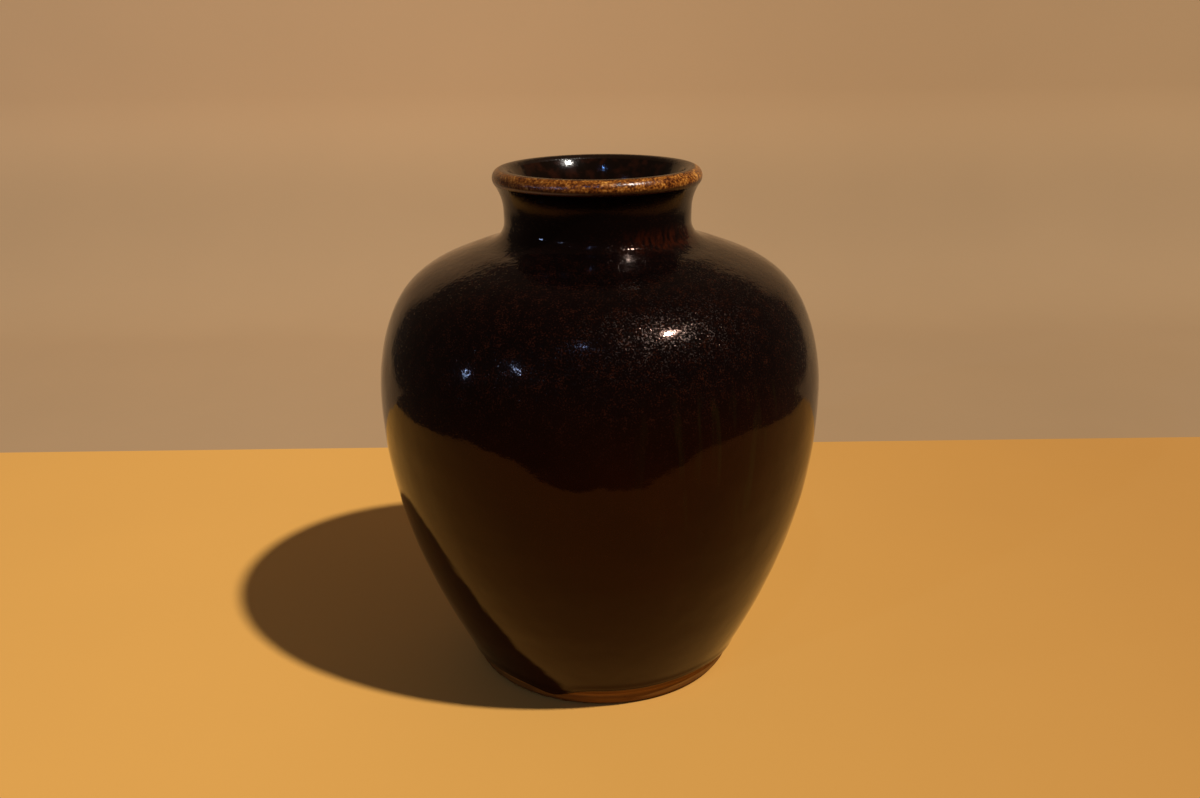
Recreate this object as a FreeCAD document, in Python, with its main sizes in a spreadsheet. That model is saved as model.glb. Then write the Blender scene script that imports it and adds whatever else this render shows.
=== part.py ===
import FreeCAD, Part
import math
import os
import Sketcher

# A small wide-mouthed jar of dark glazed stoneware. The clay is a turned foot ring, two thrown
# halves luted at the belly, a collar and a rolled lip. Three coats of glaze lie on the clay.
# The axis of the jar is the Z axis, and it stands on the plane Z = 0. Lengths are millimetres.

os.makedirs("parts", exist_ok=True)
doc = FreeCAD.newDocument("glazed_jar")
Vector = FreeCAD.Vector
UP = Vector(0, 0, 1)

DRIVING_SIZES = {
    "belly_radius": 56.8,
    "belly_height": 76.5,
    "shoulder_rise": 42.8,
    "neck_radius": 23.5,
    "neck_straight": 2.5,
    "lip_rise": 10.7,
    "lip_outset": 0.25,
    "lip_radius": 2.35,
    "foot_top_radius": 35.9,
    "foot_height": 3.6,
    "foot_tuck": 2.0,
    "foot_land_width": 6.0,
    "foot_land_bevel": 0.8,
    "floor_thickness": 4.8,
    "wall_thickness": 3.6,
    "glaze_thickness": 0.6,
    "edge_rise": 2.4,
    "edge_wave_height": 1.1,
    "edge_drip_depth": 1.3,
    "edge_roll_radius": 0.42,
}

sheet = doc.addObject("Spreadsheet::Sheet", "sizes")
for row, (alias, number) in enumerate(DRIVING_SIZES.items(), start=1):
    sheet.set(f"A{row}", alias)
    sheet.set(f"B{row}", str(number))
    sheet.setAlias(f"B{row}", alias)
doc.recompute()


class Size:
    """A length with its value and the expression on the sheet's cells that gives it."""

    def __init__(self, value, text):
        self.value = value
        self.text = text

    def __add__(self, other):
        return Size(self.value + other.value, f"({self.text} + {other.text})")

    def __sub__(self, other):
        return Size(self.value - other.value, f"({self.text} - {other.text})")

    def __rmul__(self, share):
        return Size(share * self.value, f"({share} * {self.text})")


def size(alias):
    return Size(float(sheet.get(alias)), f"sizes.{alias}")


belly_radius = size("belly_radius")
belly_height = size("belly_height")
shoulder_rise = size("shoulder_rise")
neck_radius = size("neck_radius")
foot_top_radius = size("foot_top_radius")
foot_height = size("foot_height")
wall = size("wall_thickness")
glaze = size("glaze_thickness")
clay_foot_radius = foot_top_radius - glaze
contact_radius = clay_foot_radius - size("foot_tuck")

# Depths below the outer face of the glaze
ON_GLAZE = 0 * glaze
ON_CLAY = 1 * glaze
INSIDE_CLAY = glaze + wall
INSIDE_GLAZE = glaze + wall + glaze

bore_radius = neck_radius - INSIDE_GLAZE
waist_height = belly_height + shoulder_rise
straight_height = waist_height + size("neck_straight")
lip_height = waist_height + size("lip_rise")
lip_centre_radius = neck_radius + size("lip_outset")
floor_height = foot_height + size("floor_thickness")

# Control points of the three swelling curves. Each is (share of the radial run, share of the
# height run), from the belly to the far end of the curve. The bowl's last control point but one
# lies on the floor, at a share of the radius inside the foot.
SHOULDER_SHARES = [(1, 0), (1, 0.18), (0.88, 0.66), (0.3, 0.83), (0.24, 0.85), (0, 0.9), (0, 1)]
WALL_SHARES = [(1, 0), (1, 0.26), (0.81, 0.57), (0, 1)]
BOWL_SHARES = [(1, 0), (1, 0.28), (0.56, 0.7), (0.14, 0.94)]
BOWL_FLOOR_SHARE = 0.9

# How a sketch numbers its axes and the points of a curve
UPRIGHT_AXIS, LEVEL_AXIS = range(-2, 0)
WHOLE, START, END, CENTRE = range(4)
ORIGIN = (LEVEL_AXIS, START)


class HalfSection:
    """A closed outline to the right of the axis, which is turned about it into a body."""

    def __init__(self, label):
        self.body = doc.addObject("PartDesign::Body", label)
        self.body.Label = label
        self.sketch = self.body.newObject("Sketcher::SketchObject", f"{label}_outline")
        for plane in self.body.Origin.OriginFeatures:
            if plane.Role == "XZ_Plane":
                self.sketch.AttachmentSupport = [(plane, "")]
        self.sketch.MapMode = "FlatFace"

    def bind(self, kind, *where, length):
        """One dimension of the sketch, tied to the sheet."""
        index = self.sketch.addConstraint(Sketcher.Constraint(kind, *where, length.value))
        self.sketch.setExpression(f"Constraints[{index}]", length.text)

    def fix(self, vertex, radius, height):
        if radius is None:
            self.sketch.addConstraint(Sketcher.Constraint("PointOnObject", *vertex, UPRIGHT_AXIS))
        else:
            self.bind("DistanceX", *ORIGIN, *vertex, length=radius)
        if height is None:
            self.sketch.addConstraint(Sketcher.Constraint("PointOnObject", *vertex, LEVEL_AXIS))
        else:
            self.bind("DistanceY", *ORIGIN, *vertex, length=height)

    def join(self, first, second):
        self.sketch.addConstraint(Sketcher.Constraint("Coincident", *first, *second))

    def where(self, end):
        """The place of a line's end: a vertex of the sketch, or a radius and a height."""
        if isinstance(end[0], int):
            return self.sketch.getPoint(*end)
        return Vector(*[0 if length is None else length.value for length in end])

    def line(self, start, end):
        index = self.sketch.addGeometry(Part.LineSegment(self.where(start), self.where(end)))
        for point, place in ((START, start), (END, end)):
            if isinstance(place[0], int):
                self.join((index, point), place)
            else:
                self.fix((index, point), *place)
        return index

    def arc(self, centre, radius, first_angle, last_angle, guide=False):
        circle = Part.Circle(Vector(*centre), UP, radius)
        return self.sketch.addGeometry(Part.ArcOfCircle(circle, first_angle, last_angle), guide)

    def spline(self, poles, start=None):
        """A cubic curve that starts and ends at its first and last poles. Where it carries on
        another curve, start is that curve's vertex."""
        curve = Part.BSplineCurve()
        curve.buildFromPoles([self.where(pole) for pole in poles])
        index = self.sketch.addGeometry(curve)
        for number, (pole, weight) in enumerate(zip(poles, curve.getWeights())):
            mark = self.sketch.addGeometry(Part.Circle(self.where(pole), UP, weight), True)
            self.sketch.addConstraint(Sketcher.Constraint("Weight", mark, weight))
            self.sketch.addConstraint(Sketcher.Constraint(
                "InternalAlignment:Sketcher::BSplineControlPoint", mark, CENTRE, index, number))
            if number == 0 and start is not None:
                self.join((index, START), start)
            else:
                self.fix((mark, CENTRE), *pole)
        return index

    def turn(self):
        turned = self.body.newObject("PartDesign::Revolution", f"{self.body.Label}_turned")
        turned.Profile = self.sketch
        turned.ReferenceAxis = (self.sketch, ["V_Axis"])
        turned.Angle = 360
        self.body.Tip = turned
        doc.recompute()
        return self.body


def shoulder_poles(depth):
    """Belly to waist of the neck, at a depth below the outer face."""
    return [(neck_radius - depth + across * (belly_radius - neck_radius),
             belly_height + up * (shoulder_rise - depth)) for across, up in SHOULDER_SHARES]


def wall_poles(depth):
    """Belly down to the top of the foot ring, at a depth below the outer face."""
    return [(foot_top_radius - depth + across * (belly_radius - foot_top_radius),
             belly_height - down * (belly_height - foot_height)) for across, down in WALL_SHARES]


def bowl_poles(depth, bottom):
    """The inside, from the belly round to the middle of the floor. The wall thickens downwards."""
    floor_radius = foot_top_radius - depth
    poles = [(floor_radius + across * (belly_radius - foot_top_radius),
              belly_height - down * (belly_height - bottom)) for across, down in BOWL_SHARES]
    return poles + [(BOWL_FLOOR_SHARE * floor_radius, bottom), (None, bottom)]


def rim(section, depth, flare_drawn=False, roll_drawn=False, throat_drawn=False):
    """Flare under the lip, roll of the lip and flare of the throat, each tangent to the next.
    What isn't drawn is a guide line. Returns the three arcs."""
    rise = (lip_height - straight_height).value
    roll = (size("lip_radius") - depth).value
    outer = (lip_centre_radius - neck_radius + depth).value
    inner = (lip_centre_radius - bore_radius - depth).value
    flare_radius = (rise ** 2 + outer ** 2 - roll ** 2) / (2 * (outer + roll))
    throat_radius = (rise ** 2 + inner ** 2 - roll ** 2) / (2 * (inner - roll))
    base = straight_height.value
    axis = lip_centre_radius.value
    under = math.atan2(rise, outer - flare_radius)
    over = math.atan2(rise, inner - throat_radius)

    flare = section.arc(((neck_radius - depth).value + flare_radius, base), flare_radius,
                        under, math.pi, guide=not flare_drawn)
    arc = section.arc((axis, lip_height.value), roll, under - math.pi, over, guide=not roll_drawn)
    throat = section.arc(((bore_radius + depth).value + throat_radius, base), throat_radius,
                         over, math.pi, guide=not throat_drawn)
    section.fix((arc, CENTRE), lip_centre_radius, lip_height)
    section.bind("Radius", arc, length=size("lip_radius") - depth)
    section.fix((flare, END), neck_radius - depth, straight_height)
    section.fix((throat, END), bore_radius + depth, straight_height)
    for curve in (flare, throat):
        section.sketch.addConstraint(Sketcher.Constraint("Horizontal", curve, CENTRE, curve, END))
    section.sketch.addConstraint(Sketcher.Constraint("Tangent", flare, START, arc, START))
    section.sketch.addConstraint(Sketcher.Constraint("Tangent", throat, START, arc, END))
    return flare, arc, throat


def make_foot_ring():
    """A rounded turned ring, as wide at its top as the clay wall that stands on it."""
    section = HalfSection("foot_ring")
    inner_radius = contact_radius - size("foot_land_width")
    bevel = size("foot_land_bevel")
    overhang = size("foot_tuck").value
    bulge = (foot_height.value ** 2 + overhang ** 2) / (2 * overhang)
    side = section.arc((clay_foot_radius.value - bulge, foot_height.value), bulge,
                       -math.asin(foot_height.value / bulge), 0)
    section.fix((side, START), contact_radius, None)
    section.fix((side, END), clay_foot_radius, foot_height)
    section.sketch.addConstraint(Sketcher.Constraint("Horizontal", side, CENTRE, side, END))
    top = section.line((side, END), (inner_radius, foot_height))
    bore = section.line((top, END), (inner_radius, bevel))
    slope = section.line((bore, END), (inner_radius + bevel, None))
    section.line((slope, END), (side, START))
    return section.turn()


def make_lower_body():
    """Thrown floor and lower wall, up to the luting at the belly."""
    section = HalfSection("lower_body")
    outside = section.spline(wall_poles(ON_CLAY))
    inside = section.spline(bowl_poles(INSIDE_CLAY, floor_height))
    base = section.line((outside, END), (None, foot_height))
    section.line((base, END), (inside, END))
    section.line((inside, START), (outside, START))
    return section.turn()


def make_upper_body():
    """Thrown shoulder, from the luting at the belly to the bevelled opening for the collar."""
    section = HalfSection("upper_body")
    outside = section.spline(shoulder_poles(ON_CLAY))
    inside = section.spline(shoulder_poles(INSIDE_CLAY))
    section.line((outside, END), (inside, END))
    section.line((inside, START), (outside, START))
    return section.turn()


def make_neck_collar():
    """Collar in the bevelled opening, flared under the lip and in the throat."""
    section = HalfSection("neck_collar")
    flare, roll, throat = rim(section, ON_CLAY, flare_drawn=True, throat_drawn=True)
    face = section.line((neck_radius - ON_CLAY, waist_height - ON_CLAY), (flare, END))
    section.line((flare, START), (throat, START))
    bore = section.line((throat, END), (neck_radius - INSIDE_CLAY, waist_height - INSIDE_CLAY))
    section.line((bore, END), (face, START))
    return section.turn()


def make_lip_roll():
    """Rolled rim on the head of the collar."""
    section = HalfSection("lip_roll")
    flare, roll, throat = rim(section, ON_CLAY, roll_drawn=True)
    section.line((roll, END), (roll, START))
    return section.turn()


def make_lip_glaze():
    """Thin coat over the roll of the lip."""
    section = HalfSection("lip_glaze")
    outer_roll = rim(section, ON_GLAZE, roll_drawn=True)[1]
    inner_roll = rim(section, ON_CLAY, roll_drawn=True)[1]
    section.line((outer_roll, START), (inner_roll, START))
    section.line((outer_roll, END), (inner_roll, END))
    return section.turn()


def make_inner_glaze():
    """Coat of the throat, the shoulder's inside, the wall and the floor."""
    section = HalfSection("inner_glaze")
    clay_side = section.spline(shoulder_poles(INSIDE_CLAY))
    open_side = section.spline(shoulder_poles(INSIDE_GLAZE))
    clay_bowl = section.spline(bowl_poles(INSIDE_CLAY, floor_height), (clay_side, START))
    open_bowl = section.spline(bowl_poles(INSIDE_GLAZE, floor_height + glaze), (open_side, START))
    open_throat = rim(section, ON_GLAZE, throat_drawn=True)[2]
    clay_throat = rim(section, ON_CLAY, throat_drawn=True)[2]
    section.line((clay_side, END), (clay_throat, END))
    section.line((open_side, END), (open_throat, END))
    section.line((clay_throat, START), (open_throat, START))
    section.line((clay_bowl, END), (open_bowl, END))
    return section.turn()


def make_outer_coat():
    """Outer glaze, from the top of the foot ring to the roll of the lip."""
    section = HalfSection("outer_coat")
    face_wall = section.spline(wall_poles(ON_GLAZE))
    clay_wall = section.spline(wall_poles(ON_CLAY))
    face_side = section.spline(shoulder_poles(ON_GLAZE), (face_wall, START))
    clay_side = section.spline(shoulder_poles(ON_CLAY), (clay_wall, START))
    face_flare = rim(section, ON_GLAZE, flare_drawn=True)[0]
    clay_flare = rim(section, ON_CLAY, flare_drawn=True)[0]
    section.line((face_side, END), (face_flare, END))
    section.line((clay_side, END), (clay_flare, END))
    section.line((face_flare, START), (clay_flare, START))
    section.line((face_wall, END), (clay_wall, END))
    return section.turn()


# The glaze stops in a wavy line above the foot, where it ran and was wiped. Each wave is
# (waves round the jar, share of the wave height, phase in radians).
EDGE_WAVE_SHARES = [(2, 0.5, 3.7), (3, 0.3, 4.7), (7, 0.2, 1.1)]
EDGE_POINTS = 72
DRIP_TURN = math.radians(249)
DRIP_SPREAD = math.radians(9)


def edge_height(turn):
    """Height of the glaze's lower edge, at a turn about the axis."""
    wave = sum(share * math.sin(count * turn + phase) for count, share, phase in EDGE_WAVE_SHARES)
    drip = math.exp(-((turn - DRIP_TURN) / DRIP_SPREAD) ** 2)
    return ((foot_height + size("edge_rise")).value + wave * size("edge_wave_height").value
            - drip * size("edge_drip_depth").value)


def wall_radius(height):
    """Outer radius of the glaze at a height on the lower wall, halving the curve's span."""
    curve = Part.BezierCurve()
    curve.setPoles([Vector(radius.value, up.value) for radius, up in wall_poles(ON_GLAZE)])
    high, low = curve.FirstParameter, curve.LastParameter
    for halving in range(40):
        middle = (high + low) / 2
        if curve.value(middle).y > height:
            high = middle
        else:
            low = middle
    return curve.value(middle).x


def edge_curve(radius_at):
    """The wavy edge as a closed curve, at the radius that a function gives for each height."""
    points = []
    for step in range(EDGE_POINTS):
        turn = 2 * math.pi * step / EDGE_POINTS
        height = edge_height(turn)
        radius = radius_at(height)
        points.append(Vector(radius * math.cos(turn), radius * math.sin(turn), height))
    curve = Part.BSplineCurve()
    curve.interpolate(Points=points, PeriodicFlag=True)
    return curve


def make_below_edge():
    """What lies below the wavy edge: a ribbon across the coat, drawn straight down."""
    within = doc.addObject("Part::Feature", "edge_within")
    within.Shape = edge_curve(lambda height: (contact_radius - INSIDE_CLAY).value).toShape()
    beyond = doc.addObject("Part::Feature", "edge_beyond")
    beyond.Shape = edge_curve(lambda height: belly_radius.value).toShape()
    ribbon = doc.addObject("Part::RuledSurface", "edge_ribbon")
    ribbon.Curve1 = (within, ["Edge1"])
    ribbon.Curve2 = (beyond, ["Edge1"])
    below = doc.addObject("Part::Extrusion", "below_edge")
    below.Base = ribbon
    below.DirMode = "Custom"
    below.Dir = -UP
    below.setExpression("LengthFwd", belly_height.text)
    return below


def make_edge_roll():
    """The bead that thick glaze draws up into along its edge. A round section follows the
    wavy edge in two halves, held upright all the way so that its ends meet."""
    curve = edge_curve(wall_radius)
    first, last = curve.FirstParameter, curve.LastParameter
    middle = (first + last) / 2
    halves = Part.Wire([curve.toShape(first, middle), curve.toShape(middle, last)])
    section = Part.Circle(curve.value(first), curve.tangent(first)[0],
                          size("edge_roll_radius").value)
    sweep = Part.BRepOffsetAPI.MakePipeShell(halves)
    sweep.setBiNormalMode(UP)
    sweep.add(Part.Wire([section.toShape()]))
    sweep.build()
    sweep.makeSolid()
    roll = doc.addObject("Part::Feature", "edge_roll")
    roll.Shape = sweep.shape()
    return roll


def make_body_glaze():
    """The outer coat, trimmed along its wavy edge and rolled there."""
    trimmed = doc.addObject("Part::Cut", "trimmed_coat")
    trimmed.Base = make_outer_coat()
    trimmed.Tool = make_below_edge()
    glazed = doc.addObject("Part::Fuse", "body_glaze")
    glazed.Base = trimmed
    glazed.Tool = make_edge_roll()
    glazed.Label = "body_glaze"
    doc.recompute()
    return glazed


nodes = [
    make_foot_ring(),
    make_lower_body(),
    make_upper_body(),
    make_neck_collar(),
    make_lip_roll(),
    make_body_glaze(),
    make_lip_glaze(),
    make_inner_glaze(),
]

for thing in doc.Objects:
    if "Invalid" in thing.State or "Error" in thing.State:
        raise RuntimeError(f"{thing.Label} failed: {thing.State}")
for node in nodes:
    if node.Shape.isNull() or not node.Shape.isValid():
        raise RuntimeError(f"{node.Label} has no valid shape")
for node in nodes:
    print(f"{node.Label}: {len(node.Shape.Solids)} solid, {node.Shape.Volume:.1f} mm3")
    node.Shape.exportStep(f"parts/{node.Label}.step")
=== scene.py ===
import functools
import math

import bmesh
import bpy
from mathutils import Matrix, Vector, noise


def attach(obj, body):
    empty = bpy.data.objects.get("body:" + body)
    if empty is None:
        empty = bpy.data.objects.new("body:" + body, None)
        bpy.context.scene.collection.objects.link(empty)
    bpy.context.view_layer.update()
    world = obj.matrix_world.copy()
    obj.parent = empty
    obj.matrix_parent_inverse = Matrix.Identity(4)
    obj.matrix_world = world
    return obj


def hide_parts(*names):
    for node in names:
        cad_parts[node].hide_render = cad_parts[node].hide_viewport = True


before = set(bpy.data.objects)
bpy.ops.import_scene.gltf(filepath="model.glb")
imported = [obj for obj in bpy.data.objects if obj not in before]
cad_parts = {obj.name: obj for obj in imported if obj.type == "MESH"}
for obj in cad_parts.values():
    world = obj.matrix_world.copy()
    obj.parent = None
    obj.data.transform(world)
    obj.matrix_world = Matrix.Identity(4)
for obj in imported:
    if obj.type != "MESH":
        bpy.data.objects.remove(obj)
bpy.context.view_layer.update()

# A small wide-mouthed jar of dark glazed stoneware. Lengths are in millimetres and are turned
# into metres where a point is made. The jar's axis is the Z axis.

MM = 0.001
UP = Vector((0, 0, 1))
TURN_STEPS = 208

belly_radius = 56.8
belly_height = 76.5
shoulder_rise = 42.8
neck_radius = 23.5
neck_straight = 2.5
lip_rise = 10.7
lip_outset = 0.25
lip_radius = 2.35
foot_top_radius = 35.9
foot_height = 3.6
foot_tuck = 2.0
foot_land_width = 6.0
foot_land_bevel = 0.8
floor_thickness = 4.8
wall = 3.6
glaze = 0.6
edge_rise = 2.4
edge_wave_height = 1.1
edge_drip_depth = 1.3

ON_GLAZE = 0
ON_LIP = 0.01
ON_CLAY = glaze
INSIDE_CLAY = glaze + wall
INSIDE_GLAZE = glaze + wall + glaze

waist_height = belly_height + shoulder_rise
straight_height = waist_height + neck_straight
lip_height = waist_height + lip_rise
lip_centre_radius = neck_radius + lip_outset
bore_radius = neck_radius - INSIDE_GLAZE
floor_height = foot_height + floor_thickness
edge_height = foot_height + edge_rise

SHOULDER_SHARES = [(1, 0), (1, 0.18), (0.88, 0.66), (0.3, 0.83), (0.24, 0.85), (0, 0.9), (0, 1)]
WALL_SHARES = [(1, 0), (1, 0.26), (0.81, 0.57), (0, 1)]
BOWL_SHARES = [(1, 0), (1, 0.28), (0.56, 0.7), (0.14, 0.94)]
BOWL_FLOOR_SHARE = 0.9
EDGE_WAVE_SHARES = [(2, 0.5, 3.7), (3, 0.3, 4.7), (7, 0.2, 1.1)]
DRIP_TURN = math.radians(249)
DRIP_SPREAD = math.radians(9)
RIPPLE_SHARE = 0.25

EDGE_REACH = 9
SLOPE_SPAN = 2
BEAD_SWELL = 0.22
BEAD_RISE = 0.3
BEAD_SPREAD = 1.1
THROWING_DEPTH = 0.16
THROWING_TOP = waist_height - 3
CREASE_ANGLE = math.radians(38)

FLOOR_SIDE = 300
FLOOR_FRONT = -180
FLOOR_BACK = 150
FLOOR_ROUNDING = 150
BACKDROP_BACK = 430
BACKDROP_SIDE = 480
BACKDROP_TOP = 400
FOLD = 120
TONE_LEFT = -150
TONE_RIGHT = 250
FADE_START = 380
FADE_END = 560
FADE_SHARE = 0.85

LAMP_AIM = 90
CAMERA_PLACE = (0, -0.2881, 0.1702)
CAMERA_TILT = math.radians(71.05)
CAMERA_ROLL = math.radians(-0.75)
SENSOR_WIDTH = 36
LENS_LENGTH = 34.5
WORLD_COLOUR = (0.085, 0.058, 0.04, 1)


# Profiles

def shoulder_poles(depth):
    """Belly to waist of the neck, at a depth below the outer face."""
    return [(neck_radius - depth + across * (belly_radius - neck_radius),
             belly_height + up * (shoulder_rise - depth)) for across, up in SHOULDER_SHARES]


def wall_poles(depth):
    """Belly down to the top of the foot."""
    return [(foot_top_radius - depth + across * (belly_radius - foot_top_radius),
             belly_height - down * (belly_height - foot_height)) for across, down in WALL_SHARES]


def bowl_poles(depth, bottom):
    """The inside, from the belly round to the middle of the floor."""
    floor_radius = foot_top_radius - depth
    poles = [(floor_radius + across * (belly_radius - foot_top_radius),
              belly_height - down * (belly_height - bottom)) for across, down in BOWL_SHARES]
    return poles + [(BOWL_FLOOR_SHARE * floor_radius, bottom), (0, bottom)]


class Profile:
    """A half outline, drawn in the plane of X and Z and then turned about the jar's axis."""

    def __init__(self):
        self.bm = bmesh.new()

    def point(self, radius, height):
        return self.bm.verts.new((radius * MM, 0, height * MM))

    def curve(self, poles, fineness, above=None):
        """A smooth cubic line on its control points, cut off below a height. Returns its ends."""
        data = bpy.data.curves.new("guide", "CURVE")
        data.dimensions = "3D"
        line = data.splines.new("NURBS")
        line.points.add(len(poles) - 1)
        for point, (radius, height) in zip(line.points, poles):
            point.co = (radius * MM, 0, height * MM, 1)
        line.order_u = 4
        line.use_endpoint_u = True
        line.resolution_u = fineness
        guide = bpy.data.objects.new("guide", data)
        mesh = bpy.data.meshes.new_from_object(guide)
        first = len(self.bm.verts)
        self.bm.from_mesh(mesh)
        bpy.data.objects.remove(guide)
        bpy.data.curves.remove(data)
        bpy.data.meshes.remove(mesh)
        self.bm.verts.ensure_lookup_table()
        drawn = self.bm.verts[first:]
        if above is not None:
            edges = {edge for vert in drawn for edge in vert.link_edges}
            bmesh.ops.bisect_plane(self.bm, geom=drawn + list(edges), dist=1e-9,
                                   plane_co=(0, 0, above * MM), plane_no=-UP, clear_outer=True)
            self.bm.verts.ensure_lookup_table()
            drawn = self.bm.verts[first:]
        ends = [vert for vert in drawn if len(vert.link_edges) == 1]
        return sorted(ends, key=lambda vert: -vert.co.x)

    def arc(self, start, centre, angle, steps):
        """Turns a point about a centre in the plane of the outline. Returns the arc's end."""
        middle = Vector((centre[0] * MM, 0, centre[1] * MM))
        made = bmesh.ops.spin(self.bm, geom=[start], cent=middle, axis=(0, -1, 0), angle=angle,
                              steps=steps, use_duplicate=False)
        return made["geom_last"][0]

    def line(self, first, second):
        self.bm.edges.new((first, second))
        return second

    def turn(self):
        """Turns the outline about the axis into a closed skin and returns its mesh code."""
        bmesh.ops.remove_doubles(self.bm, verts=self.bm.verts, dist=1e-7)
        bmesh.ops.spin(self.bm, geom=self.bm.verts[:] + self.bm.edges[:], cent=(0, 0, 0), axis=UP,
                       angle=2 * math.pi, steps=TURN_STEPS, use_merge=True)
        bmesh.ops.remove_doubles(self.bm, verts=self.bm.verts, dist=1e-6)
        bmesh.ops.recalc_face_normals(self.bm, faces=self.bm.faces)
        return self.bm


def rim_arcs(depth):
    """Centres, radii and angles of the flare, the roll and the throat, tangent to each other."""
    rise = lip_height - straight_height
    roll = lip_radius - depth
    outer = lip_centre_radius - neck_radius + depth
    inner = lip_centre_radius - bore_radius - depth
    flare_radius = (rise ** 2 + outer ** 2 - roll ** 2) / (2 * (outer + roll))
    throat_radius = (rise ** 2 + inner ** 2 - roll ** 2) / (2 * (inner - roll))
    under = math.atan2(rise, outer - flare_radius)
    over = math.atan2(rise, inner - throat_radius)
    flare_centre = (neck_radius - depth + flare_radius, straight_height)
    throat_centre = (bore_radius + depth + throat_radius, straight_height)
    return flare_centre, under, throat_centre, over


def rim_ends(depth):
    """Where the roll begins under the lip and where it ends in the throat."""
    roll = lip_radius - depth
    under, over = rim_arcs(depth)[1::2]
    return [(lip_centre_radius + roll * math.cos(angle), lip_height + roll * math.sin(angle))
            for angle in (under - math.pi, over)]


def finish_piece(bm, name, slot, *nodes):
    """Makes an object of a mesh, shaded smooth up to its creases, that rides on the jar."""
    for face in bm.faces:
        face.smooth = True
    for edge in bm.edges:
        edge.smooth = edge.calc_face_angle(0) < CREASE_ANGLE
    mesh = bpy.data.meshes.new(name)
    bm.to_mesh(mesh)
    bm.free()
    piece = bpy.data.objects.new(name, mesh)
    bpy.context.collection.objects.link(piece)
    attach(piece, "root")
    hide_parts(*nodes)
    return piece


# Pieces

def glaze_edge(turn):
    """Height of the glaze's lower edge at a turn about the axis."""
    wave = sum(share * math.sin(count * turn + phase) for count, share, phase in EDGE_WAVE_SHARES)
    drip = math.exp(-((turn - DRIP_TURN) / DRIP_SPREAD) ** 2)
    ripple = noise.noise(Vector((5 * math.cos(turn), 5 * math.sin(turn), 3.3)))
    return (edge_height + (wave + RIPPLE_SHARE * ripple) * edge_wave_height
            - 2 * drip * edge_drip_depth)


def throwing(point, depth):
    """How far a thrown wall lies inside its true round, from the potter's fingers."""
    rings = noise.noise(Vector((point.x / 60, point.y / 60, point.z / 5.5)) / MM)
    soft = noise.noise(Vector((point.x / 38, point.y / 38, point.z / 24)) / MM)
    return depth * (1 + 0.6 * rings + 0.9 * soft) / 2.5


def make_glaze_coat():
    """The outer coat, from the flare under the lip down to its wavy rolled edge."""
    profile = Profile()
    outer_wall = profile.curve(wall_poles(ON_GLAZE), 60, above=edge_height)
    clay_wall = profile.curve(wall_poles(ON_CLAY), 12, above=edge_height)
    outer_side = profile.curve(shoulder_poles(ON_GLAZE), 26)
    clay_side = profile.curve(shoulder_poles(ON_CLAY), 8)
    ends = []
    for depth, side, steps in ((ON_GLAZE, outer_side, 26), (ON_CLAY, clay_side, 6)):
        flare_centre, under = rim_arcs(depth)[:2]
        waist = profile.line(side[1], profile.point(neck_radius - depth, straight_height))
        ends.append(profile.arc(waist, flare_centre, -(math.pi - under), steps))
    profile.line(ends[0], ends[1])
    edge, bare = outer_wall[1], clay_wall[1]
    radius, height = edge.co.x / MM, edge.co.z / MM
    bead = [(radius, height), (radius - 0.02, height - 0.3), (radius - 0.2, height - 0.6),
            (radius - 0.5, height - 0.55), (bare.co.x / MM, height)]
    profile.curve(bead, 6)
    bm = profile.turn()

    wall_slope = (outer_wall_slope(edge_height + SLOPE_SPAN) + outer_wall_slope(edge_height)) / 2
    for vert in bm.verts:
        turn = math.atan2(vert.co.y, vert.co.x) % (2 * math.pi)
        radius, height = Vector(vert.co[:2]).length, vert.co.z / MM
        near_edge = max(0, 1 - max(0, height - edge_height) / EDGE_REACH) ** 2
        rise = (glaze_edge(turn) - edge_height) * near_edge
        swell = BEAD_SWELL * math.exp(-((height - edge_height - BEAD_RISE) / BEAD_SPREAD) ** 2)
        outside = clay_share(radius / MM, height)
        push = wall_slope * rise + outside * swell
        if height < THROWING_TOP:
            push -= outside * throwing(vert.co, THROWING_DEPTH)
        vert.co.x += push * MM * math.cos(turn)
        vert.co.y += push * MM * math.sin(turn)
        vert.co.z += rise * MM
    return finish_piece(bm, "glaze_coat", "dark_glaze", "body_glaze")


@functools.lru_cache(maxsize=None)
def outer_wall_radius(height):
    """Radius of the outer face on the lower wall, by halving the span of its cubic."""
    low, high = 0.0, 1.0
    for halving in range(30):
        middle = (low + high) / 2
        rest = 1 - middle
        weights = (rest ** 3, 3 * rest ** 2 * middle, 3 * rest * middle ** 2, middle ** 3)
        radius, level = [sum(weight * pole[axis] for weight, pole in zip(weights, wall_poles(0)))
                         for axis in (0, 1)]
        if level > height:
            low = middle
        else:
            high = middle
    return radius


def outer_wall_slope(height):
    """Growth of the outer radius over a millimetre of height."""
    return (outer_wall_radius(height + 0.5) - outer_wall_radius(height - 0.5))


def clay_share(radius, height):
    """1 on the outer face of the coat and 0 on its clay side."""
    if height > belly_height:
        return 1.0
    return min(1, max(0, 1 - (outer_wall_radius(round(height, 3)) - radius) / glaze))


def make_lip_coat():
    """The thin coat on the roll of the lip."""
    profile = Profile()
    outer, inner = rim_ends(ON_LIP), rim_ends(ON_CLAY)
    tips = []
    for depth, (start, end), steps in ((ON_LIP, outer, 40), (ON_CLAY, inner, 12)):
        under, over = rim_arcs(depth)[1::2]
        first = profile.point(*start)
        last = profile.arc(first, (lip_centre_radius, lip_height), over - under + math.pi, steps)
        tips.append((first, last))
    profile.line(tips[0][0], tips[1][0])
    profile.line(tips[0][1], tips[1][1])
    return finish_piece(profile.turn(), "lip_coat", "rust_glaze", "lip_glaze")


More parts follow.
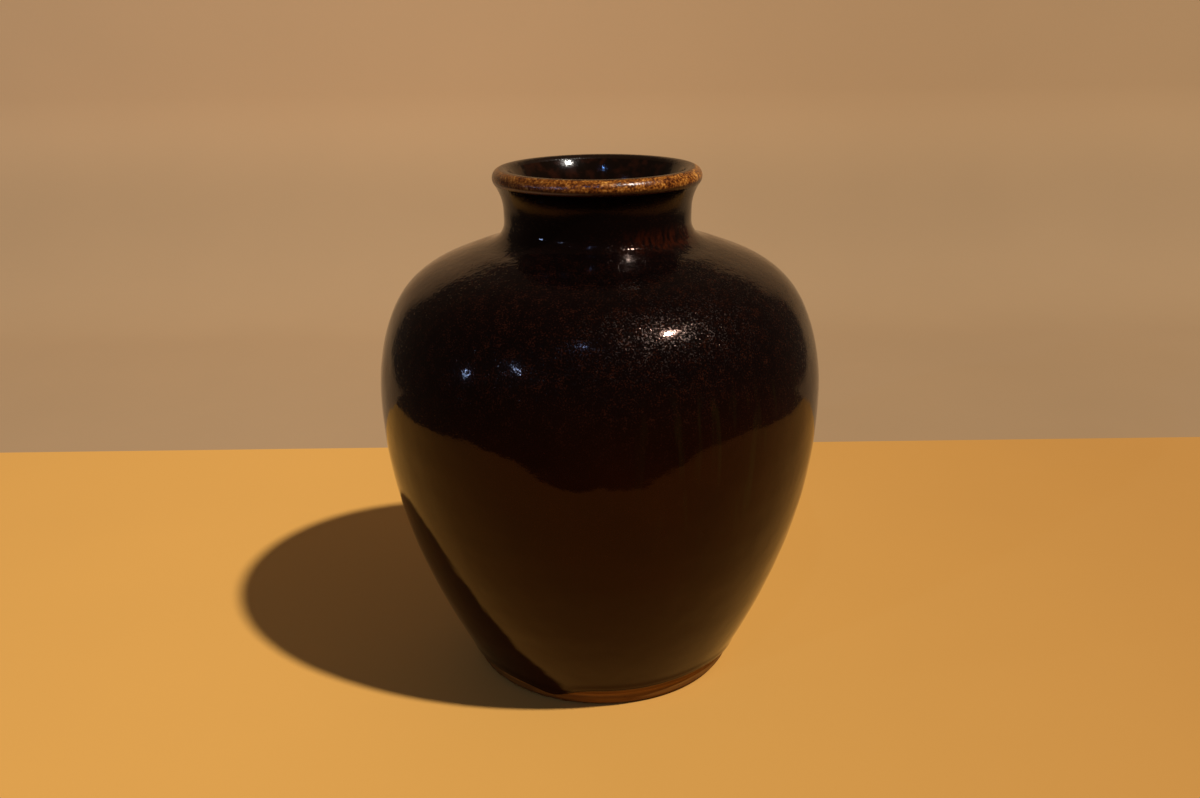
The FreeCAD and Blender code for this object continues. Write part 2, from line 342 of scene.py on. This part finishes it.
def make_inner_coat():
    """The coat of the throat and the inside."""
    profile = Profile()
    ends = []
    for depth, bottom, fineness, steps in ((INSIDE_GLAZE, floor_height + glaze, 18, 16),
                                           (INSIDE_CLAY, floor_height, 6, 5)):
        side = profile.curve(shoulder_poles(depth), fineness)
        profile.curve(bowl_poles(depth, bottom), fineness)
        throat_centre, over = rim_arcs(INSIDE_GLAZE - depth)[2:]
        shelf = profile.line(side[1], profile.point(neck_radius - depth, straight_height))
        ends.append(profile.arc(shelf, throat_centre, -(math.pi - over), steps))
    profile.line(ends[0], ends[1])
    bm = profile.turn()
    return finish_piece(bm, "inner_coat", "inner_glaze", "inner_glaze")


def make_foot():
    """The bare turned ring, with a tucked side, a level land and a recess."""
    profile = Profile()
    top, base = foot_top_radius - glaze, foot_top_radius - glaze - foot_tuck
    recess = base - foot_land_width
    side = profile.curve([(top, foot_height), (top + 0.05, foot_height * 0.7),
                          (top - 0.3, foot_height * 0.25), (base + 0.3, 0.02), (base, 0)], 14)
    land = profile.line(side[1], profile.point(recess + foot_land_bevel, 0))
    bevel = profile.line(land, profile.point(recess, foot_land_bevel))
    wall_top = profile.line(bevel, profile.point(recess, foot_height))
    profile.line(wall_top, side[0])
    return finish_piece(profile.turn(), "foot", "bare_clay", "foot_ring")


# Finishes

class Value:
    """A shader socket that carries a number. Arithmetic on it adds Math nodes."""

    def __init__(self, finish, socket):
        self.finish = finish
        self.socket = socket

    def maths(self, operation, *values):
        numbers = dict(enumerate(values))
        return self.finish.node("ShaderNodeMath", {"operation": operation}, numbers)

    def __add__(self, other):
        return self.maths("ADD", self, other)

    def __sub__(self, other):
        return self.maths("SUBTRACT", self, other)

    def __rsub__(self, other):
        return self.maths("SUBTRACT", other, self)

    def __mul__(self, other):
        return self.maths("MULTIPLY", self, other)

    __radd__ = __add__
    __rmul__ = __mul__


class Finish:
    """A material built from nodes. Places on the piece are read in millimetres."""

    def __init__(self, name):
        self.material = bpy.data.materials.new(name)
        self.material.use_nodes = True
        self.tree = self.material.node_tree
        self.tree.nodes.clear()
        self.place = self.node("ShaderNodeVectorMath", {"operation": "SCALE"}, {
            0: self.node("ShaderNodeTexCoord", {}, {}, "Object"), "Scale": 1 / MM})
        self.across, self.along, self.height = [
            self.node("ShaderNodeSeparateXYZ", {}, {0: self.place}, axis) for axis in "XYZ"]

    def node(self, kind, settings, values, output=0):
        """Adds a node: its settings come first, then the values or links of its sockets."""
        made = self.tree.nodes.new(kind)
        for key, setting in settings.items():
            if key == "stops":
                ramp = made.color_ramp
                while len(ramp.elements) < len(setting):
                    ramp.elements.new(0.5)
                for element, (position, colour) in zip(ramp.elements, setting):
                    element.position = position
                    element.color = (*colour, 1)
            else:
                setattr(made, key, setting)
        for key, value in values.items():
            socket = made.inputs[key] if isinstance(key, int) else next(
                each for each in made.inputs if key in (each.identifier, each.name))
            if isinstance(value, Value):
                self.tree.links.new(value.socket, socket)
            else:
                socket.default_value = value
        return Value(self, made.outputs[output])

    def grain(self, size, detail=2.0, stretch=(1, 1, 1), shift=0.0):
        """Soft noise between 0 and 1 with features of a size in millimetres."""
        stretched = self.node("ShaderNodeVectorMath", {"operation": "MULTIPLY_ADD"}, {
            0: self.place, 1: stretch, 2: (shift, shift, shift)})
        return self.node("ShaderNodeTexNoise", {}, {
            "Vector": stretched, "Scale": 1 / size, "Detail": detail}, "Fac")

    def ramp(self, value, low, high):
        """0 below low and 1 above high, eased between them."""
        return self.node("ShaderNodeMapRange", {"interpolation_type": "SMOOTHSTEP"}, {
            "Value": value, "From Min": low, "From Max": high})

    def blend(self, share, first, second):
        """A colour between two colours."""
        return self.node("ShaderNodeMix", {"data_type": "RGBA"}, {
            "Factor_Float": share, "A_Color": first, "B_Color": second}, 2)

    def spots(self, size, reach, share):
        """Small spots in a share of the cells of a size in millimetres."""
        cell = {"Vector": self.place, "Scale": 1 / size}
        near = self.node("ShaderNodeTexVoronoi", {}, cell, "Distance")
        tint = self.node("ShaderNodeTexVoronoi", {}, cell, "Color")
        picked = self.node("ShaderNodeSeparateColor", {}, {0: tint}, 0)
        return self.ramp(near, reach, 0.5 * reach) * self.ramp(picked, 1 - share, 1.02 - share)

    def around(self):
        """The turn about the axis in radians, 0 at the front and growing to the right."""
        return self.across.maths("ARCTAN2", self.across, -1 * self.along)

    def out(self):
        """The distance from the axis."""
        squares = self.across * self.across + self.along * self.along
        return squares.maths("SQRT", squares)

    def band(self, value, start, low, high, end):
        """1 from low to high, easing to 0 at start and end."""
        return self.ramp(value, start, low) * self.ramp(value, end, high)

    def surface(self, colour, roughness, relief, depth, **constants):
        """Ends in a shader, with the relief's depth in millimetres."""
        bump = self.node("ShaderNodeBump", {}, {"Height": relief, "Distance": depth * MM})
        shader = self.node("ShaderNodeBsdfPrincipled", {}, {
            "Base Color": colour, "Roughness": roughness, "Normal": bump, **constants})
        output = self.tree.nodes.new("ShaderNodeOutputMaterial")
        self.tree.links.new(shader.socket, output.inputs["Surface"])
        return self.material


def dark_glaze_finish():
    """Black-brown glaze, browner below partly as painted reflection of the straw floor, with rust
    specks and fine crystals on the shoulder.
    """
    finish = Finish("dark_glaze")
    turn = finish.around()
    high = finish.ramp(finish.height, 70, 96)
    cloud = finish.grain(14, 3)
    clump = finish.grain(2.6, 2, shift=20)
    streak = finish.grain(3.2, 2, stretch=(1, 1, 0.09), shift=40)

    # Colour
    # Darker above, browner below: the browner lower half is partly a thinner glaze and partly a
    # painted reflection of the straw floor.
    deep = finish.blend(cloud, (0.0011, 0.0005, 0.0005, 1), (0.003, 0.0012, 0.001, 1))
    brown = finish.blend(cloud, (0.0045, 0.0008, 0.0001, 1), (0.013, 0.0024, 0.0001, 1))
    colour = finish.blend(high, brown, deep)
    # Redder low on the body: a painted reflection of the straw floor.
    colour = finish.blend(finish.ramp(finish.height, 50, 12), colour, (0.01, 0.0022, 0.0001, 1))
    olive = (finish.ramp(streak, 0.52, 0.68) * finish.band(finish.height, 46, 66, 84, 92)
             * finish.band(turn, 0.05, 0.35, 0.8, 1.1))
    colour = finish.blend(0.5 * olive, colour, (0.012, 0.008, 0.0015, 1))
    speck = finish.grain(0.36, 2, shift=9) + 0.4 * clump
    below_neck = 1 - 0.75 * finish.ramp(finish.height, 110, 117)
    rust = finish.ramp(speck, 0.72, 0.98) * (0.25 + 0.75 * high) * below_neck
    colour = finish.blend(rust, colour, (0.024, 0.006, 0.0026, 1))
    # A reddish glow painted on the neck base's side that faces the key lamp: painted light.
    painted_glow = (finish.ramp(finish.grain(1.1, 3, stretch=(1, 1, 0.4), shift=60), 0.3, 0.8)
            * finish.band(finish.height, 114, 116, 118, 121)
            * finish.band(turn, 0.1, 0.5, 1.3, 1.6))
    colour = finish.blend(0.36 * painted_glow, colour, (0.07, 0.011, 0.002, 1))

    # Relief
    waist = finish.band(finish.height, 103, 108, 114, 118)
    peel = (0.1 + 0.2 * high) * finish.grain(1.1, 2)
    fine = 0.2 * high * finish.grain(0.45, 1, shift=5)
    pits = high * (0.3 * finish.spots(0.85, 0.32, 0.4) + 0.2 * finish.spots(0.5, 0.35, 0.3))
    ripple = 0.9 * waist * finish.grain(0.6, 2, stretch=(0.3, 0.3, 1), shift=30)
    swell = 0.8 * finish.grain(5, 1) + 3 * finish.grain(13, 1, shift=70)
    relief = peel + fine - pits + ripple + swell

    # Gloss
    flare = finish.band(finish.height, 120, 122.5, 127, 129)
    sparkle = (finish.ramp(finish.grain(0.4, 2, shift=80), 0.54, 0.64) * high * below_neck
               * (0.4 + 0.6 * finish.ramp(finish.grain(3, 2, shift=90), 0.4, 0.56))
               * (0.2 + 0.8 * finish.band(turn, -0.4, 0.1, 1, 1.7)))
    roughness = 0.045 + 0.05 * finish.grain(7, 3, shift=3) + 0.33 * sparkle + 0.13 * flare
    return finish.surface(colour, roughness, relief, 0.075, IOR=1.29, **{
        "Specular Tint": (1, 0.62, 0.5, 1), "Coat Weight": 0.1 * sparkle,
        "Coat Roughness": 0.38, "Coat IOR": 1.6})


def rust_glaze_finish():
    """Rust brown where the glaze is thin, on the outer side of the roll."""
    finish = Finish("rust_glaze")
    level = finish.height - lip_height
    tilt = level.maths("ARCTAN2", level, finish.out() - lip_centre_radius)
    fleck = 0.65 * finish.grain(0.55, 3) + 0.35 * finish.grain(2.2, 2, shift=8)
    colour = finish.node("ShaderNodeValToRGB", {"stops": [
        (0.38, (0.04, 0.008, 0.001)), (0.46, (0.12, 0.031, 0.004)), (0.55, (0.28, 0.09, 0.01)),
        (0.66, (0.62, 0.28, 0.055))]}, {"Fac": fleck})
    # Darker on the underside of the roll: partly the dark glaze below the rust, partly painted
    # shade where the lamp doesn't reach.
    colour = finish.blend(finish.ramp(tilt, 0.1, -0.3), colour, (0.028, 0.005, 0.001, 1))
    # Darker on the left, away from the key lamp: painted shade.
    colour = finish.blend(0.55 * finish.ramp(finish.around(), 0.1, -1.2), colour,
                          (0.08, 0.02, 0.003, 1))
    # A pale line low on the roll's underside, on the left: a painted highlight.
    line = finish.band(tilt, -0.5, -0.38, -0.3, -0.18) * finish.ramp(finish.around(), 0.1, -0.5)
    colour = finish.blend(0.8 * line, colour, (0.2, 0.1, 0.06, 1))
    colour = finish.blend(finish.ramp(tilt, 1.1, 1.5), colour, (0.008, 0.003, 0.0012, 1))
    relief = 1.1 * finish.grain(0.5, 2, shift=4) + 0.8 * finish.grain(1.6, 1)
    return finish.surface(colour, 0.16 + 0.15 * fleck, relief, 0.07, IOR=1.4)


def inner_glaze_finish():
    """Dark brown glaze with faint reddish patches."""
    finish = Finish("inner_glaze")
    patch = finish.grain(2.4, 3)
    colour = finish.blend(finish.ramp(patch, 0.4, 0.75), (0.004, 0.0015, 0.0006, 1),
                          (0.02, 0.0045, 0.0016, 1))
    relief = 0.5 * finish.grain(1, 2) + finish.grain(5, 1)
    return finish.surface(colour, 0.08 + 0.06 * patch, relief, 0.07, IOR=1.37)


def bare_clay_finish():
    """Golden brown clay with turning lines, with painted shade near the floor and a painted
    highlight along the top of the foot ring.
    """
    finish = Finish("bare_clay")
    lines = finish.grain(0.5, 2, stretch=(0.05, 0.05, 1))
    grit = finish.grain(0.45, 3)
    scorch = finish.grain(6, 2, shift=5)
    colour = finish.blend(scorch, (0.1, 0.038, 0.004, 1), (0.22, 0.095, 0.01, 1))
    colour = finish.blend(0.5 * finish.ramp(lines, 0.35, 0.65), colour, (0.085, 0.026, 0.0025, 1))
    colour = finish.blend(0.5 * finish.spots(1.4, 0.25, 0.3), colour, (0.045, 0.017, 0.003, 1))
    # Darker near the floor: painted shade.
    colour = finish.blend(0.6 * finish.ramp(finish.height, 1.4, 0.3), colour,
                          (0.08, 0.018, 0.003, 1))
    # A pale band along the top of the foot ring: a painted highlight.
    painted_rim_highlight = finish.band(finish.height, 3.1, 3.35, 3.8, 4.1)
    colour = finish.blend(0.6 * painted_rim_highlight, colour, (0.3, 0.13, 0.02, 1))
    relief = lines + 0.5 * grit
    return finish.surface(colour, 0.72 + 0.15 * grit, relief, 0.08,
                          **{"Specular IOR Level": 0.2})


def plain_finish(name, left, right, level_share=1):
    """A plain surface whose colour eases from left to right, a painted light falloff. A backdrop's
    level part is darker by a share, so that it looks as bright as the upright part, and its far
    ends fade out into painted shade."""
    finish = Finish(name)
    # Painted light falloff: the colour darkens from left to right.
    tone = finish.blend(finish.ramp(finish.across, TONE_LEFT, TONE_RIGHT), (*left, 1), (*right, 1))
    lift = finish.ramp(finish.height, 0, FOLD)
    level = (1 - level_share) * (1 - lift * lift * lift)
    # The far ends darken towards black: painted shade.
    ends = FADE_SHARE * (finish.ramp(finish.across, -FADE_START, -FADE_END)
                         + finish.ramp(finish.across, FADE_START, FADE_END))
    shade = finish.blend(level + ends + 0.04 * finish.grain(60, 2), tone, (0, 0, 0, 1))
    return finish.surface(shade, 0.9, finish.grain(1.5, 2), 0.02)


# Stage

def make_stage(bm, name, material):
    """Makes an object that isn't part of the jar."""
    mesh = bpy.data.meshes.new(name)
    bm.to_mesh(mesh)
    bm.free()
    mesh.materials.append(material)
    thing = bpy.data.objects.new(name, mesh)
    bpy.context.collection.objects.link(thing)


def make_floor(material):
    """A level floor with rounded front corners, which the lower half of the glaze mirrors."""
    bm = bmesh.new()
    bmesh.ops.create_grid(bm, x_segments=1, y_segments=1, size=1)
    for vert in bm.verts:
        vert.co.x *= FLOOR_SIDE * MM
        vert.co.y = (FLOOR_BACK if vert.co.y > 0 else FLOOR_FRONT) * MM
    near = [vert for vert in bm.verts if vert.co.y < 0]
    bmesh.ops.bevel(bm, geom=near, offset=FLOOR_ROUNDING * MM, segments=6, profile=0.5,
                    affect="VERTICES", material=-1)
    make_stage(bm, "floor", material)


def make_backdrop(material):
    """A sheet that lies level behind the floor and folds up into a wall."""
    bm = bmesh.new()
    corners = [bm.verts.new((x * MM, FLOOR_BACK * MM, 0))
               for x in (-BACKDROP_SIDE, BACKDROP_SIDE)]
    edge = bm.edges.new(corners)
    for move in ((0, (BACKDROP_BACK - FLOOR_BACK) * MM, 0), (0, 0, BACKDROP_TOP * MM)):
        grown = bmesh.ops.extrude_edge_only(bm, edges=[edge])["geom"]
        moved = [each for each in grown if isinstance(each, bmesh.types.BMVert)]
        edge = [each for each in grown if isinstance(each, bmesh.types.BMEdge)
                and all(vert in moved for vert in each.verts)][0]
        bmesh.ops.translate(bm, verts=moved, vec=move)
    fold = [each for each in bm.edges if len(each.link_faces) == 2]
    bmesh.ops.bevel(bm, geom=fold, offset=FOLD * MM, segments=16, profile=0.5, affect="EDGES",
                    material=-1)
    bmesh.ops.recalc_face_normals(bm, faces=bm.faces)
    for face in bm.faces:
        face.smooth = True
    make_stage(bm, "backdrop", material)


def make_lamp(name, colour, elevation, turn, distance, width, power):
    """A round lamp at a turn from the front towards the right, aimed at the jar's shoulder."""
    aim = Vector((0, 0, LAMP_AIM * MM))
    up, side = math.radians(elevation), math.radians(turn)
    towards = Vector((math.cos(up) * math.sin(side), -math.cos(up) * math.cos(side), math.sin(up)))
    data = bpy.data.lights.new(name, "AREA")
    data.shape = "DISK"
    data.size = width * MM
    data.energy = power
    data.color = colour
    lamp = bpy.data.objects.new(name, data)
    lamp.matrix_world = Matrix.LocRotScale(aim + distance * MM * towards,
                                           towards.to_track_quat("Z", "Y"), None)
    bpy.context.collection.objects.link(lamp)


def make_camera():
    """The camera, where it stood for the photo."""
    data = bpy.data.cameras.new("camera")
    data.sensor_width = SENSOR_WIDTH
    data.lens = LENS_LENGTH
    data.clip_start = 0.01
    camera = bpy.data.objects.new("camera", data)
    tilt = Matrix.Rotation(CAMERA_TILT, 4, "X")
    roll = Matrix.Rotation(CAMERA_ROLL, 4, "Z")
    camera.matrix_world = Matrix.Translation(CAMERA_PLACE) @ tilt @ roll
    bpy.context.collection.objects.link(camera)
    bpy.context.scene.camera = camera


make_camera()
clay = bare_clay_finish()
for piece, material in (
        (make_glaze_coat(), dark_glaze_finish()), (make_lip_coat(), rust_glaze_finish()),
        (make_inner_coat(), inner_glaze_finish()), (make_foot(), clay)):
    piece.data.materials.append(material)
for name in ("lower_body", "upper_body", "neck_collar", "lip_roll"):
    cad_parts[name].material_slots[0].material = clay

make_floor(plain_finish("straw_floor", (0.73, 0.373, 0.073), (0.5, 0.238, 0.042)))
make_backdrop(plain_finish("warm_wall", (0.67, 0.425, 0.21), (0.54, 0.34, 0.163), 0.64))
make_lamp("key", (1, 0.94, 0.86), elevation=53.5, turn=55, distance=3600, width=150, power=152)
make_lamp("glint_low", (0.25, 0.5, 1), elevation=12, turn=-72, distance=1600, width=30, power=1)
make_lamp("glint_mid", (0.25, 0.5, 1), elevation=21, turn=-45, distance=1600, width=30,
          power=2.2)
make_lamp("glint_high", (0.2, 0.42, 1), elevation=47, turn=-11, distance=1600, width=20,
          power=1.2)
world = bpy.data.worlds.new("room")
bpy.context.scene.world = world
world.use_nodes = True
world.node_tree.nodes["Background"].inputs["Color"].default_value = WORLD_COLOUR
bpy.context.scene.view_settings.view_transform = "Standard"
